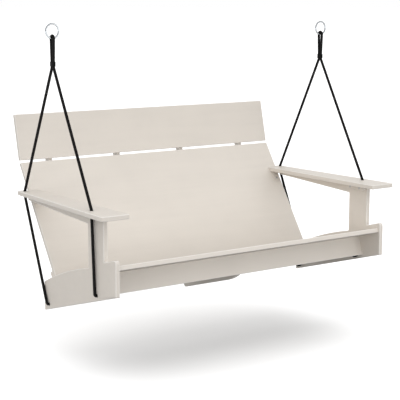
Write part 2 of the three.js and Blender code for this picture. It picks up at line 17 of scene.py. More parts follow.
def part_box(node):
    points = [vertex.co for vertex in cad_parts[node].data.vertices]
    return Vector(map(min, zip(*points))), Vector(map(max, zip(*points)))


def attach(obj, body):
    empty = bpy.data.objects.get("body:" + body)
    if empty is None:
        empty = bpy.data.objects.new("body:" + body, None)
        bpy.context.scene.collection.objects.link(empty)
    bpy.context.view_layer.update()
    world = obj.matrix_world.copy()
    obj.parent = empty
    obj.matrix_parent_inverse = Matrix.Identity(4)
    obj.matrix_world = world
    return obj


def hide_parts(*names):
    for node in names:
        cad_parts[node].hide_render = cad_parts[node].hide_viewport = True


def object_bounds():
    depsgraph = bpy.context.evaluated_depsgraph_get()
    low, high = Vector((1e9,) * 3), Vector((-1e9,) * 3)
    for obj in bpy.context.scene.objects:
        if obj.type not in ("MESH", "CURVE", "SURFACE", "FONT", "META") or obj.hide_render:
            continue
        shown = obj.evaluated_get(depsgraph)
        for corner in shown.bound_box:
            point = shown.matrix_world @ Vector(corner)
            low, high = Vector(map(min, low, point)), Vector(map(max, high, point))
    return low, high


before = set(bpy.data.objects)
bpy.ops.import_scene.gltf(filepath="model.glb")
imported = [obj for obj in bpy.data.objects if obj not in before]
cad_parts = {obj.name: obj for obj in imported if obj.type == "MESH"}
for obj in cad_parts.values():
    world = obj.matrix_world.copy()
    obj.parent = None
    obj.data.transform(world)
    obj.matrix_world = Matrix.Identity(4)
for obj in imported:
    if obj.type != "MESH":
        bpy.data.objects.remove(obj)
CAD_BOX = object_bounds()

bl_info = {
    "name": "Porch Swing",
    "version": (1, 0, 0),
    "blender": (4, 5, 0),
    "location": "View3D > Sidebar > Porch Swing",
    "description": "Builds a rope-hung porch swing in plastic lumber around its frame",
    "category": "Add Mesh",
}

MM = 0.001
SIDES = (("left", -1), ("right", 1))

# The bench frame that the swing is laid out on has its origin at the lower front corner of the side
# panels. These take it to the frame of the hanging swing.
BENCH_Y = 459.0
BENCH_Z = 1031.5
SEAT_SLOPE = math.radians(16.4)

PANEL_INNER_X = 686.0
FOOT_HOLE_S = {"front": 146.0, "rear": 559.0}  # along the panels' bottom edge
FOOT_HOLE_N = 22.0  # above it
ROPE_FOOT_X = 713.0
ARM_HOLE = {"front": (718.0, 154.0), "rear": (707.0, 737.0)}  # x, y on the bench
ARM_UNDER_Z = 302.0
ARM_TOP_Z = 321.0
RING_X = 712.0
RING_RADIUS = 29.0  # to the middle of the wire
WIRE_RADIUS = 4.0
RING_BELOW = 25.0  # the ring's middle below its hook seat
FORK_Z = 862.0
FORK_HALF = 6.7  # half the distance between the two strands
FORK_TOP = 888.0
BINDING_Z = (866.0, 884.0)
BINDING_BORE = 6.65
BINDING_WALL = 1.8
EYE_HALF = 11.0  # half the width of the rope's turn over the ring
EYE_BEND = 10.95  # just under the half width, so that the turn's two corners stay apart
EYE_CROWN = 988.25  # the rope's middle where it rests on the ring
FOOT_BEND = 8.5  # radii of the rope's middle where it turns
ARM_BEND = 16.0
FORK_BEND = 16.0
BINDING_BEND = 60.0

EDGE_STEPS = 3
SHARP = math.radians(32)  # corners flatter than this are part of a curve and stay as they are
SHORTEST_ROUTED = 1.6 * MM  # the sides of the small pilot holes are shorter, and stay square
BRACKET_EDGE = 0.6 * MM
FLAT_AREA = 6e-4  # square metres; smaller faces are mostly strips of a curve
FLAT_ANGLE = math.radians(0.3)
DISSOLVE_ANGLE = math.radians(0.5)
WELD_REACH = 2e-5  # metres; vertices nearer than this are one

SCREW_SIDES = 24
SCREW_SHANK = 2.2
SCREW_TIP = 0.25
SCREW_POINT = 3.0  # length of the point
PAN_HEAD = (  # radius, height
    (4.8, 0.0),
    (4.85, 0.7),
    (4.7, 1.3),
    (4.2, 1.9),
    (3.4, 2.3),
    (2.4, 2.5),
)
SQUARE_DRIVE = 1.35  # half the width of the recess
DRIVE_TAPER = 0.96
DRIVE_DEPTH = 1.5
CREASE = math.radians(40)

RING_STEPS = 120
WIRE_STEPS = 24
WELD_AT = math.radians(12)
WELD_HALF = math.radians(3.5)
WELD_PROUD = 0.3

ROPE_STEP = 1.5 * MM
ROPE_SIDES = 36
ARC_STEP = 0.12  # radians along a bend
PLAIT_DEPTH = 0.11  # of the rope's radius
STRAND_ACROSS = 0.7  # the powers that make a strand fuller than a sine across and along it
STRAND_ALONG = 0.35
TWINE_ROW = 0.25
TWINE_SIDES = 48
TWINE_PITCH = 1.5
TWINE_GROOVE = 0.3  # of the binding's wall
KNOT_STRAND = 4.9  # the rope is squeezed in the knot
KNOT_WRAP = 9.3
KNOT_CORE = 20.0
KNOT_GAP = 0.6  # from the panel to the knot
KNOT_TURNS = 2
TURN_STEPS = 24
LOOP_STEPS = 8

HORIZON_BLUR = 0.1  # of the world's height over which its upper light fades to its lower one
FLOOR_REACH = 400.0
FLOOR_LIGHT_SPREAD = 100.0
SWING_MIDDLE = Vector((0.0, 0.0, -0.85))
CAMERA_AT = (-3.0064, -4.2256, 0.0818)
CAMERA_YAW = 35.6
CAMERA_PITCH = -9.41
CAMERA_ROLL = 0.173
CAMERA_LENS = 106.14


# ---- small helpers ------------------------------------------------------------------------------


def linear(value):
    """A colour given as sRGB hex, as linear red, green, blue and alpha."""
    channels = [int(value[i : i + 2], 16) / 255 for i in (1, 3, 5)]
    return [c / 12.92 if c <= 0.04045 else ((c + 0.055) / 1.055) ** 2.4 for c in channels] + [1.0]


def node(tree, kind, inputs=None, **settings):
    """Adds one shader node with its settings, and sets or links each named input."""
    made = tree.nodes.new(kind)
    for name, value in settings.items():
        setattr(made, name, value)
    for name, value in (inputs or {}).items():
        if isinstance(value, bpy.types.NodeSocket):
            tree.links.new(value, made.inputs[name])
        else:
            made.inputs[name].default_value = value
    return made


def on_slope(s, n):
    """Bench (y, z) in millimetres of a point s along the bottom edge and n square to it."""
    c, k = math.cos(SEAT_SLOPE), math.sin(SEAT_SLOPE)
    return s * c + n * k, n * c - s * k


def hung(x, y, z):
    """A bench point in millimetres, in the hanging swing's frame in metres."""
    return np.array([x, y - BENCH_Y, z - BENCH_Z]) * MM


def finish_mesh(name, mesh, materials, body, replaced):
    """Links a finished mesh as one piece that stands for the named node of the frame."""
    piece = bpy.data.objects.new(name, mesh)
    for material in materials:
        mesh.materials.append(material)
    bpy.context.scene.collection.objects.link(piece)
    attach(piece, body)
    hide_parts(replaced)
    return piece


def smooth_mesh(name, vertices, faces):
    """A smooth shaded mesh."""
    mesh = bpy.data.meshes.new(name)
    mesh.from_pydata([tuple(v) for v in vertices], [], faces)
    mesh.validate()
    mesh.shade_smooth()
    return mesh


def loft(rings, close_ends=True):
    """Vertices and faces of a skin over rings of equally many points. Each end can be closed by a
    fan about its middle."""
    count = len(rings[0])
    vertices = [p for ring in rings for p in ring]
    faces = []
    for r in range(len(rings) - 1):
        for k in range(count):
            a, b = r * count + k, r * count + (k + 1) % count
            faces.append((a, b, b + count, a + count))
    if close_ends:
        for ring, flip in ((0, True), (len(rings) - 1, False)):
            middle = len(vertices)
            vertices.append(np.mean(rings[ring], axis=0))
            for k in range(count):
                a, b = ring * count + k, ring * count + (k + 1) % count
                faces.append((b, a, middle) if flip else (a, b, middle))
    return vertices, faces


# ---- materials ----------------------------------------------------------------------------------


def blank_material(name):
    """A material without nodes, and its empty tree."""
    material = bpy.data.materials.new(name)
    material.use_nodes = True
    material.node_tree.nodes.clear()
    return material, material.node_tree


def plastic_lumber(name, settings, polish_and_painted_highlight):
    """High density polyethylene sheet, extruded between rolls that leave a fine matte grain.

    The eye sees an even, slightly waxy off-white with faint long streaks from the extrusion, a soft
    broad highlight, and a grain that only shows close up. Where the last argument is above 0 the
    cutter has run along the edge, which leaves it a little smoother; its colour is also painted
    paler than the face, a painted highlight along the routed edge.
    """
    if name in bpy.data.materials:
        return bpy.data.materials[name]
    material, tree = blank_material(name)
    place = node(tree, "ShaderNodeTexCoord").outputs["Object"]
    # streaks run along the sheet: 30 mm apart and about half a metre long
    stretched = node(tree, "ShaderNodeMapping", {"Vector": place, "Scale": (2.0, 33.0, 33.0)})
    streaks = node(
        tree,
        "ShaderNodeTexNoise",
        {"Vector": stretched.outputs["Vector"], "Scale": 1.0, "Detail": 3.0},
    )
    # clouds of pigment 150 mm across
    clouds = node(tree, "ShaderNodeTexNoise", {"Vector": place, "Scale": 6.7, "Detail": 2.0})
    # the grain is 1.1 mm in life and is drawn at 2.2 mm so that it shows
    fine = node(tree, "ShaderNodeTexNoise", {"Vector": place, "Scale": 450.0, "Detail": 2.0})
    mixed = node(
        tree,
        "ShaderNodeMath",
        {0: streaks.outputs["Fac"], 1: clouds.outputs["Fac"]},
        operation="ADD",
    )
    with_fine = node(
        tree,
        "ShaderNodeMath",
        {0: fine.outputs["Fac"], 1: 0.35, 2: mixed.outputs["Value"]},
        operation="MULTIPLY_ADD",
    )
    # the three noises together lie between 0.8 and 1.6
    shade = node(
        tree,
        "ShaderNodeMapRange",
        {"Value": with_fine.outputs["Value"], "From Min": 0.8, "From Max": 1.6},
    )
    ramp = node(tree, "ShaderNodeValToRGB", {"Fac": shade.outputs["Result"]})
    # painted highlight: a routed edge's colour is lifted towards white, standing in for the light
    # its rounding catches
    base = [c + (1 - c) * polish_and_painted_highlight for c in settings.colour]
    stops = ramp.color_ramp.elements
    stops[0].color = [c * 0.95 for c in base] + [1.0]
    stops[1].color = base + [1.0]
    stops.new(0.5).color = [c * 0.98 for c in base] + [1.0]
    roughness = settings.roughness - 0.6 * polish_and_painted_highlight
    rough = node(
        tree,
        "ShaderNodeMapRange",
        {"Value": fine.outputs["Fac"], "To Min": roughness - 0.06, "To Max": roughness + 0.06},
    )
    # the sheet is never quite flat: low swells 70 mm across
    waves = node(tree, "ShaderNodeTexNoise", {"Vector": place, "Scale": 14.0, "Detail": 1.0})
    swell = node(
        tree,
        "ShaderNodeBump",
        {"Height": waves.outputs["Fac"], "Strength": 0.25, "Distance": 0.0012},
    )
    bump = node(
        tree,
        "ShaderNodeBump",
        {
            "Height": fine.outputs["Fac"],
            "Strength": 0.35,
            "Distance": 0.00025,
            "Normal": swell.outputs["Normal"],
        },
    )
    shader = node(
        tree,
        "ShaderNodeBsdfPrincipled",
        {
            "Base Color": ramp.outputs["Color"],
            "Roughness": rough.outputs["Result"],
            "Normal": bump.outputs["Normal"],
            "IOR": 1.5,
            "Specular IOR Level": 0.4,
        },
    )
    node(tree, "ShaderNodeOutputMaterial", {"Surface": shader.outputs["BSDF"]})
    return material


def braided_polyester(name, colour):
    """Polyester cord, plaited or wound from dyed yarns and left matte. It looks almost black, with
    a faint gloss where the yarns catch the light along each strand."""
    if name in bpy.data.materials:
        return bpy.data.materials[name]
    material, tree = blank_material(name)
    place = node(tree, "ShaderNodeTexCoord").outputs["Object"]
    # yarn filaments 0.5 mm apart, drawn long along the rope's rise
    along = node(tree, "ShaderNodeMapping", {"Vector": place, "Scale": (2000.0, 2000.0, 350.0)})
    yarns = node(
        tree, "ShaderNodeTexNoise", {"Vector": along.outputs["Vector"], "Scale": 1.0, "Detail": 2.0}
    )
    ramp = node(tree, "ShaderNodeValToRGB", {"Fac": yarns.outputs["Fac"]})
    base = linear(colour)
    ramp.color_ramp.elements[0].position = 0.3
    ramp.color_ramp.elements[0].color = [c * 0.7 for c in base[:3]] + [1.0]
    ramp.color_ramp.elements[1].position = 0.75
    ramp.color_ramp.elements[1].color = [c * 1.6 for c in base[:3]] + [1.0]
    rough = node(
        tree,
        "ShaderNodeMapRange",
        {"Value": yarns.outputs["Fac"], "To Min": 0.55, "To Max": 0.8},
    )
    bump = node(
        tree,
        "ShaderNodeBump",
        {"Height": yarns.outputs["Fac"], "Strength": 0.5, "Distance": 0.0002},
    )
    shader = node(
        tree,
        "ShaderNodeBsdfPrincipled",
        {
            "Base Color": ramp.outputs["Color"],
            "Roughness": rough.outputs["Result"],
            "Normal": bump.outputs["Normal"],
            "IOR": 1.55,
            "Specular IOR Level": 0.13,
        },
    )
    node(tree, "ShaderNodeOutputMaterial", {"Surface": shader.outputs["BSDF"]})
    return material


def stainless_steel(name, colour, roughness, scratch):
    """Stainless steel, cold formed and then polished. It is bright, with fine scratches that
    spread the highlights a little in all directions."""
    if name in bpy.data.materials:
        return bpy.data.materials[name]
    material, tree = blank_material(name)
    place = node(tree, "ShaderNodeTexCoord").outputs["Object"]
    # tumbling marks about 0.6 mm long
    marks = node(tree, "ShaderNodeTexNoise", {"Vector": place, "Scale": 1600.0, "Detail": 4.0})
    clouds = node(tree, "ShaderNodeTexNoise", {"Vector": place, "Scale": 120.0, "Detail": 2.0})
    rough = node(
        tree,
        "ShaderNodeMapRange",
        {"Value": clouds.outputs["Fac"], "To Min": roughness * 0.75, "To Max": roughness * 1.3},
    )
    ramp = node(tree, "ShaderNodeValToRGB", {"Fac": marks.outputs["Fac"]})
    base = linear(colour)
    ramp.color_ramp.elements[0].color = [c * 0.88 for c in base[:3]] + [1.0]
    ramp.color_ramp.elements[1].color = base
    bump = node(
        tree,
        "ShaderNodeBump",
        {"Height": marks.outputs["Fac"], "Strength": scratch, "Distance": 0.00005},
    )
    shader = node(
        tree,
        "ShaderNodeBsdfPrincipled",
        {
            "Base Color": ramp.outputs["Color"],
            "Roughness": rough.outputs["Result"],
            "Normal": bump.outputs["Normal"],
            "Metallic": 1.0,
        },
    )
    node(tree, "ShaderNodeOutputMaterial", {"Surface": shader.outputs["BSDF"]})
    return material


def powder_coat(name, colour):
    """Steel strip under polyester powder coat, baked on. It has the sheet's own colour with a satin
    gloss, and the shallow orange peel that the melted powder leaves."""
    if name in bpy.data.materials:
        return bpy.data.materials[name]
    material, tree = blank_material(name)
    place = node(tree, "ShaderNodeTexCoord").outputs["Object"]
    # orange peel, dimples 1.5 mm apart
    peel = node(tree, "ShaderNodeTexNoise", {"Vector": place, "Scale": 660.0, "Detail": 1.0})
    ramp = node(tree, "ShaderNodeValToRGB", {"Fac": peel.outputs["Fac"]})
    base = linear(colour)
    ramp.color_ramp.elements[0].color = [c * 0.95 for c in base[:3]] + [1.0]
    ramp.color_ramp.elements[1].color = base
    bump = node(
        tree, "ShaderNodeBump", {"Height": peel.outputs["Fac"], "Strength": 0.3, "Distance": 0.0001}
    )
    shader = node(
        tree,
        "ShaderNodeBsdfPrincipled",
        {
            "Base Color": ramp.outputs["Color"],
            "Roughness": 0.35,
            "Normal": bump.outputs["Normal"],
            "IOR": 1.5,
        },
    )
    node(tree, "ShaderNodeOutputMaterial", {"Surface": shader.outputs["BSDF"]})
    return material


def studio_paint(name, colour):
    """Matte white studio floor paint, rolled, with a barely visible roller texture 4 mm across."""
    if name in bpy.data.materials:
        return bpy.data.materials[name]
    material, tree = blank_material(name)
    place = node(tree, "ShaderNodeTexCoord").outputs["Object"]
    rolled = node(tree, "ShaderNodeTexNoise", {"Vector": place, "Scale": 250.0, "Detail": 1.0})
    bump = node(
        tree,
        "ShaderNodeBump",
        {"Height": rolled.outputs["Fac"], "Strength": 0.05, "Distance": 0.0003},
    )
    shader = node(
        tree,
        "ShaderNodeBsdfPrincipled",
        {
            "Base Color": linear(colour),
            "Roughness": 0.9,
            "Normal": bump.outputs["Normal"],
            "Specular IOR Level": 0.1,
        },
    )
    node(tree, "ShaderNodeOutputMaterial", {"Surface": shader.outputs["BSDF"]})
    return material


# ---- settings a user would change ---------------------------------------------------------------


class SwingSheetSettings(bpy.types.PropertyGroup):
    edge_radius: FloatProperty(
        name="Edge radius",
        description="Radius that the router leaves on the edges of the sheet",
        default=3.0 * MM,
        min=0.0005,
        max=0.006,
        subtype="DISTANCE",
        unit="LENGTH",
    )
    colour: FloatVectorProperty(
        name="Sheet colour",
        description="Colour of the plastic lumber",
        subtype="COLOR",
        default=linear("#DDD6CD")[:3],
        min=0.0,
        max=1.0,
    )
    roughness: FloatProperty(
        name="Roughness",
        description="How matte the sheet is",
        default=0.5,
        min=0.0,
        max=1.0,
    )


class SwingRopeSettings(bpy.types.PropertyGroup):
    diameter: FloatProperty(
        name="Diameter",
        description="Diameter of the rope over its strands",
        default=12.7 * MM,
        min=0.006,
        max=0.016,
        subtype="DISTANCE",
        unit="LENGTH",
    )
    strands: IntProperty(
        name="Strands each way",
        description="How many strands the plait has in each direction",
        default=6,
        min=3,
        max=12,
    )
    plait: FloatProperty(
        name="Plait length",
        description="Length along the rope in which a strand goes once around it",
        default=42.0 * MM,
        min=0.02,
        max=0.09,
        subtype="DISTANCE",
        unit="LENGTH",
    )


class SwingStageSettings(bpy.types.PropertyGroup):
    floor_drop: FloatProperty(
        name="Floor below the swing",
        description="Height of the swing's lowest point above the floor",
        default=0.2,
        min=0.0,
        max=1.0,
        subtype="DISTANCE",
        unit="LENGTH",
    )
    sky: FloatProperty(
        name="Sky light",
        description="Brightness of the even light from above",
        default=1.03,
        min=0.0,
        max=5.0,
    )
    ground: FloatProperty(
        name="Ground light",
        description="Brightness of the even light from below",
        default=0.16,
        min=0.0,
        max=5.0,
    )
    floor_light: FloatProperty(
        name="Floor light",
        description="Brightness of the light that only the floor takes",
        default=0.42,
        min=0.0,
        max=5.0,
    )
    front: FloatProperty(
        name="Front softbox",
        description="What the softbox in front adds to a white surface",
        default=0.32,
        min=0.0,
        max=5.0,
    )
    left: FloatProperty(
        name="Left softbox",
        description="What the softbox at the left adds to a white surface",
        default=0.21,
        min=0.0,
        max=5.0,
    )


# ---- sheet pieces -------------------------------------------------------------------------------


def lies_flat(face):
    """Whether a face belongs to a flat stretch, and not to a strip of a curve."""
    return face.calc_area() > FLAT_AREA or any(
        e.is_manifold and e.calc_face_angle() < FLAT_ANGLE for e in face.edges
    )


def routed_mesh(name, source, radius, square):
    """A copy of a frame node's mesh with its sharp edges rounded, apart from those that
    square(edge) names. The rounded strips take the second material."""
    bm = bmesh.new()
    bm.from_mesh(source.data)
    bmesh.ops.remove_doubles(bm, verts=bm.verts, dist=WELD_REACH)
    bmesh.ops.dissolve_limit(
        bm,
        angle_limit=DISSOLVE_ANGLE,
        verts=bm.verts,
        edges=bm.edges,
        use_dissolve_boundaries=False,
    )
    sharp = [
        e
        for e in bm.edges
        if e.is_manifold
        and e.calc_face_angle() > SHARP
        and e.calc_length() > SHORTEST_ROUTED
        and not square(e)
    ]
    bmesh.ops.bevel(
        bm,
        geom=sharp,
        offset=radius,
        offset_type="OFFSET",
        segments=EDGE_STEPS,
        profile=0.5,
        affect="EDGES",
        clamp_overlap=False,
        material=1,
    )
    smooth = [face.material_index == 1 or not lies_flat(face) for face in bm.faces]
    mesh = bpy.data.meshes.new(name)
    bm.to_mesh(mesh)
    bm.free()
    mesh.set_sharp_from_angle(angle=SHARP)
    mesh.polygons.foreach_set("use_smooth", smooth)
    return mesh


def across_end(distance):
    """Names the edges that lie across an end of a piece, this far or further from the middle."""
    return lambda edge: min(v.co.x for v in edge.verts) > distance or (
        max(v.co.x for v in edge.verts) < -distance
    )


def above(height):
    """Names the edges of the face that an armrest sits on."""
    return lambda edge: all(v.co.z > height for v in edge.verts)


def nowhere(_edge):
    """Names no edge, so that all are rounded."""
    return False


def make_routed(context, jobs, radius_share=1.0):
    """Makes the routed copies of some sheet pieces. jobs is a list of (node, square), and
    radius_share is the part of the edge radius that these pieces get."""
    settings = context.scene.swing_sheet
    face = plastic_lumber("Plastic lumber, rolled face", settings, 0.0)
    # the routed edges get a smoother finish and a paler colour, which is a painted highlight
    edge = plastic_lumber("Plastic lumber, routed edge", settings, 0.25)
    for name, square in jobs:
        radius = settings.edge_radius * radius_share
        mesh = routed_mesh(name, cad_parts[name], radius, square)
        finish_mesh(f"{name}_routed", mesh, [face, edge], "swing", name)


class SWING_OT_side_panels(bpy.types.Operator):
    """Makes the two side panels, each with a lower rail, a post and a support for its armrest"""

    bl_idname = "swing.side_panels"
    bl_label = "Side panels"

    def execute(self, context):
        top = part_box("left_side_panel")[1].z - 0.5 * MM
        make_routed(context, [(f"{side}_side_panel", above(top)) for side, _ in SIDES])
        return {"FINISHED"}


class SWING_OT_armrests(bpy.types.Operator):
    """Makes the two armrests, which are notched round the back board"""

    bl_idname = "swing.armrests"
    bl_label = "Armrests"

    def execute(self, context):
        make_routed(context, [(f"{side}_armrest", nowhere) for side, _ in SIDES])
        return {"FINISHED"}


class SWING_OT_back(bpy.types.Operator):
    """Makes the lower back board, the headrest and the four ribs on edge behind them"""

    bl_idname = "swing.back"
    bl_label = "Back"

    def execute(self, context):
        make_routed(context, [("lower_back_board", nowhere), ("headrest_board", nowhere)])
        make_routed(context, [(f"back_rib_{i}", nowhere) for i in range(1, 5)], 0.5)
        return {"FINISHED"}


class SWING_OT_seat(bpy.types.Operator):
    """Makes the seat board, the apron under it and the rib under its middle"""

    bl_idname = "swing.seat"
    bl_label = "Seat"

    def execute(self, context):
        ends = across_end((PANEL_INNER_X - 1.0) * MM)
        make_routed(context, [("seat_board", ends), ("front_apron", ends), ("middle_rib", nowhere)])
        return {"FINISHED"}


class SWING_OT_cleats(bpy.types.Operator):
    """Makes the cleats that the seat, the armrests and the back are screwed to"""

    bl_idname = "swing.cleats"
    bl_label = "Cleats"

    def execute(self, context):
        names = [f"{side}_{which}_cleat" for side, _ in SIDES for which in ("seat", "arm")]
        make_routed(context, [(name, nowhere) for name in [*names, "back_foot_cleat"]], 0.5)
        return {"FINISHED"}


# ---- metal fittings -----------------------------------------------------------------------------


class SWING_OT_arm_brackets(bpy.types.Operator):
    """Makes the bent steel brackets that tie the armrests to the back board"""

    bl_idname = "swing.arm_brackets"
    bl_label = "Arm brackets"

    def execute(self, context):
        paint = powder_coat("Steel strip, powder coated", "#DDD6CD")
        for side, _ in SIDES:
            name = f"{side}_arm_bracket"
            mesh = routed_mesh(name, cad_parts[name], BRACKET_EDGE, nowhere)
            finish_mesh(f"{name}_bent", mesh, [paint, paint], "swing", name)
        return {"FINISHED"}


def screw_axis(source):
    """The middle of the washer face of a screw's head, the way its head points, and its length."""
    points = np.array([v.co for v in source.data.vertices])
    middle = points.mean(axis=0)
    along = np.linalg.svd(points - middle)[2][0]
    height = (points - middle) @ along
    off_axis = np.linalg.norm(points - middle - np.outer(height, along), axis=1)
    if height[off_axis.argmax()] < 0:
        along, height = -along, -height
    wide = off_axis > 0.9 * off_axis.max()
    return middle + along * height[wide].min(), along, height[wide].min() - height.min()


def screw_mesh(name, source):
    """A pan head screw with a square drive recess."""
    seat, out, length = screw_axis(source)
    side = np.cross(out, [0.0, 0.0, 1.0] if abs(out[2]) < 0.9 else [1.0, 0.0, 0.0])
    side /= np.linalg.norm(side)
    other = np.cross(out, side)
    turns = [2 * math.pi * k / SCREW_SIDES for k in range(SCREW_SIDES)]

    def round_ring(radius, height):
        return [
            seat + (side * math.cos(t) + other * math.sin(t)) * radius * MM + out * height * MM
            for t in turns
        ]

    def square_ring(half, height):
        ring = []
        for t in turns:
            reach = half / max(abs(math.cos(t)), abs(math.sin(t)))
            away = (side * math.cos(t) + other * math.sin(t)) * reach
            ring.append(seat + (away + out * height) * MM)
        return ring

    rings = [
        round_ring(SCREW_TIP, -length / MM),
        round_ring(SCREW_SHANK, SCREW_POINT - length / MM),
        round_ring(SCREW_SHANK, -0.2),
        *[round_ring(r, h) for r, h in PAN_HEAD],
        square_ring(SQUARE_DRIVE, PAN_HEAD[-1][1] - 0.05),
        square_ring(SQUARE_DRIVE * DRIVE_TAPER, PAN_HEAD[-1][1] - DRIVE_DEPTH),
    ]
    vertices, faces = loft(rings)
    mesh = smooth_mesh(name, vertices, faces)
    mesh.set_sharp_from_angle(angle=CREASE)
    return mesh


class SWING_OT_screws(bpy.types.Operator):
    """Makes every pan head screw, with its head where the frame has it"""

    bl_idname = "swing.screws"
    bl_label = "Screws"

    def execute(self, context):
        steel = stainless_steel("Stainless screw, cold headed", "#C2C4C6", 0.28, 0.4)
        for name in sorted(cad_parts):
            if "screw" in name:
                mesh = screw_mesh(name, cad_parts[name])
                finish_mesh(f"{name}_pan_head", mesh, [steel], "swing", name)
        return {"FINISHED"}


class SWING_OT_rings(bpy.types.Operator):
    """Makes the two welded rings that the swing hangs from"""

    bl_idname = "swing.rings"
    bl_label = "Rings"

    def execute(self, context):
        steel = stainless_steel("Stainless ring, polished", "#A6A9AC", 0.14, 0.25)
        for side, sign in SIDES:
            name = f"{side}_ring"
            centre = np.array([sign * RING_X, 0.0, -RING_BELOW]) * MM
            vertices, faces = [], []
            for i in range(RING_STEPS):
                t = 2 * math.pi * i / RING_STEPS
                out = np.array([math.cos(t), 0.0, math.sin(t)])
                # the butt weld stands a little proud, just above the middle of the ring's side
                from_weld = (t - WELD_AT) / WELD_HALF
                wire = WIRE_RADIUS + WELD_PROUD * math.exp(-(from_weld**2))
                for k in range(WIRE_STEPS):
                    w = 2 * math.pi * k / WIRE_STEPS
                    reach = RING_RADIUS + wire * math.cos(w)
                    to_back = np.array([0, 1, 0]) * wire * math.sin(w)
                    vertices.append(centre + (out * reach + to_back) * MM)
                    a, b = i * WIRE_STEPS, (i + 1) % RING_STEPS * WIRE_STEPS
                    n = (k + 1) % WIRE_STEPS
                    faces.append((a + k, a + n, b + n, b + k))
            mesh = smooth_mesh(name, vertices, faces)
            finish_mesh(f"{name}_welded", mesh, [steel], "hangers", name)
        return {"FINISHED"}


# ---- rope ---------------------------------------------------------------------------------------


def filleted(corners):
    """Points along straight runs between corners that are each rounded to their own radius."""
    points = [corners[0][0]]
    for (before, _), (here, radius), (after, _) in zip(corners, corners[1:], corners[2:]):
        a = (before - here) / np.linalg.norm(before - here)
        b = (after - here) / np.linalg.norm(after - here)
        turn = math.pi - math.acos(float(np.clip(a @ b, -1, 1)))
        middle = (a + b) / np.linalg.norm(a + b)
        centre = here + middle * radius / math.cos(turn / 2)
        start = here + a * radius * math.tan(turn / 2) - centre
        axis = Vector(np.cross(-a, b)).normalized()
        steps = max(4, math.ceil(turn / ARC_STEP))
        for k in range(steps + 1):
            spun = Matrix.Rotation(turn * k / steps, 3, axis) @ Vector(start)
            points.append(centre + np.array(spun))
    points.append(corners[-1][0])
    return np.array(points)


def evenly(points, spacing):
    """The same line with even steps."""
    lengths = np.r_[0, np.cumsum(np.linalg.norm(np.diff(points, axis=0), axis=1))]
    steps = max(2, round(lengths[-1] / spacing))
    at = np.linspace(0, lengths[-1], steps + 1)
    return np.column_stack([np.interp(at, lengths, points[:, i]) for i in range(3)])


def rope_route(sign):
    """From a stopper knot at the front foot hole up through the armrest, over the ring, down
    through the armrest again and in at the rear foot hole."""
    foot = {end: on_slope(s, FOOT_HOLE_N) for end, s in FOOT_HOLE_S.items()}
    front_hole, rear_hole = ARM_HOLE["front"], ARM_HOLE["rear"]
    corners = [
        ((PANEL_INNER_X, *foot["front"]), 0.0),
        ((ROPE_FOOT_X, *foot["front"]), FOOT_BEND),
        ((*front_hole, ARM_UNDER_Z), ARM_BEND),
        ((*front_hole, ARM_TOP_Z), ARM_BEND),
        ((RING_X, BENCH_Y - FORK_HALF, FORK_Z), FORK_BEND),
        ((RING_X, BENCH_Y - FORK_HALF, FORK_TOP), BINDING_BEND),
        ((RING_X, BENCH_Y - EYE_HALF, EYE_CROWN), EYE_BEND),
        ((RING_X, BENCH_Y + EYE_HALF, EYE_CROWN), EYE_BEND),
        ((RING_X, BENCH_Y + FORK_HALF, FORK_TOP), BINDING_BEND),
        ((RING_X, BENCH_Y + FORK_HALF, FORK_Z), FORK_BEND),
        ((*rear_hole, ARM_TOP_Z), ARM_BEND),
        ((*rear_hole, ARM_UNDER_Z), ARM_BEND),
        ((ROPE_FOOT_X, *foot["rear"]), FOOT_BEND),
        ((PANEL_INNER_X, *foot["rear"]), 0.0),
    ]
    return filleted([(hung(sign * x, y, z), radius * MM) for (x, y, z), radius in corners])


def plait_height(around, along, strands):
    """How far a point of a diamond plait stands up, from 0 in the grooves to 1 on top of a strand.
    around and along are in whole turns."""
    u = (around + along) * strands
    v = (around - along) * strands
    a, b = u % 1.0, v % 1.0
    one_way = (np.floor(u) + np.floor(v)) % 2 < 1
    over = np.where(one_way, b, a)
    length = np.where(one_way, a, b)
    return np.sin(np.pi * over) ** STRAND_ACROSS * np.sin(np.pi * length) ** STRAND_ALONG


def braided_tube(name, line, radius, strands, plait):
    """A plaited rope along a line: its surface is the plait itself."""
    line = evenly(line, ROPE_STEP)
    tangents = np.gradient(line, axis=0)
    tangents /= np.linalg.norm(tangents, axis=1)[:, None]
    side = np.cross(tangents[0], [0.0, 0.3, 1.0])  # any way but the rope's own
    side /= np.linalg.norm(side)
    run = np.r_[0, np.cumsum(np.linalg.norm(np.diff(line, axis=0), axis=1))]
    around = np.arange(ROPE_SIDES) / ROPE_SIDES
    rings = []
    for point, tangent, at in zip(line, tangents, run):
        side = side - tangent * (side @ tangent)
        side /= np.linalg.norm(side)
        other = np.cross(tangent, side)
        reach = radius * (1 - PLAIT_DEPTH * (1 - plait_height(around, at / plait, strands)))
        turn = 2 * np.pi * around
        across = np.outer(reach * np.cos(turn), side) + np.outer(reach * np.sin(turn), other)
        rings.append(point + across)
    vertices, faces = loft(rings)
    return smooth_mesh(name, vertices, faces)


class SWING_OT_ropes(bpy.types.Operator):
    """Makes the plaited rope on each side, whole from one stopper knot to the other"""

    bl_idname = "swing.ropes"
    bl_label = "Ropes"

    def execute(self, context):
        settings = context.scene.swing_rope
        black = braided_polyester("Polyester rope, plaited", "#050404")
        for side, sign in SIDES:
            line = rope_route(sign)
            radius = settings.diameter / 2
            name = f"{side}_rope"
            mesh = braided_tube(name, line, radius, settings.strands, settings.plait)
            rope = finish_mesh(f"{name}_plaited", mesh, [black], "swing", name)
        return {"FINISHED"}


